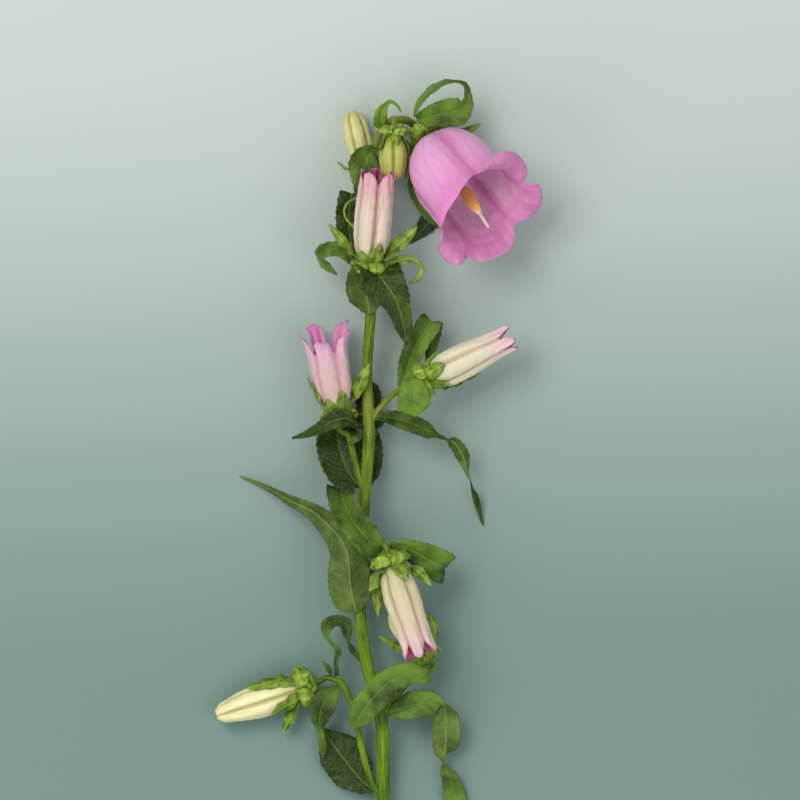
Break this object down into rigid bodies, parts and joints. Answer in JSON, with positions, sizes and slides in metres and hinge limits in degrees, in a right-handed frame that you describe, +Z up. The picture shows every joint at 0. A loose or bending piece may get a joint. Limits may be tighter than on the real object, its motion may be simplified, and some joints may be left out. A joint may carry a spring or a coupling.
{
  "type": "bellflower spike",
  "caption": "Cut bellflower spike lying on its side: a leafy stem with an open pink bell at the top, opening and closed buds with sepals, and curled toothed leaves.",
  "frame": {"origin": "middle of the spike's bounding box, on the surface it lies on", "axes": "+Y along the spike from the cut end of the stem towards the open bell, +X to the right of it as seen from above, +Z up from the surface"},
  "size_m": [0.1224, 0.3062, 0.0526],
  "materials": {
    "stem": "satin",
    "leaf": "satin",
    "calyx": "satin",
    "bell_petal": "satin",
    "bud_petal": "satin",
    "style": "satin"
  },
  "bodies": {
    "root": {"bell_calyx": "calyx", "bell_corolla": "bell_petal", "bell_style": "style", "bract_small": "leaf", "bud_behind_calyx": "calyx", "bud_behind_corolla": "bud_petal", "bud_drooping_calyx": "calyx", "bud_drooping_corolla": "bud_petal", "bud_left_calyx": "calyx", "bud_left_corolla": "bud_petal", "bud_lower_left_calyx": "calyx", "bud_lower_left_corolla": "bud_petal", "bud_right_calyx": "calyx", "bud_right_corolla": "bud_petal", "bud_small_green_calyx": "calyx", "bud_small_green_corolla": "bud_petal", "bud_top_left_calyx": "calyx", "bud_top_left_corolla": "bud_petal", "bud_upright_calyx": "calyx", "bud_upright_corolla": "bud_petal", "leaf_back_dark": "leaf", "leaf_back_right": "leaf", "leaf_behind_bell": "leaf", "leaf_big_left": "leaf", "leaf_bottom_left": "leaf", "leaf_broad_back": "leaf", "leaf_cross_stem": "leaf", "leaf_drape": "leaf", "leaf_fold_centre": "leaf", "leaf_front_diamond": "leaf", "leaf_front_flag": "leaf", "leaf_glossy_right": "leaf", "leaf_left_dark": "leaf", "leaf_left_flag": "leaf", "leaf_left_low": "leaf", "leaf_long_right": "leaf", "leaf_right_drop": "leaf", "leaf_shoot_left": "leaf", "leaf_small": "leaf", "leaf_tall_fold": "leaf", "leaf_top_curl": "leaf", "leaf_top_loop": "leaf", "leaf_twist_loop": "leaf", "leaf_under_bell": "leaf", "stem": "stem"}
  },
  "joints": []
}
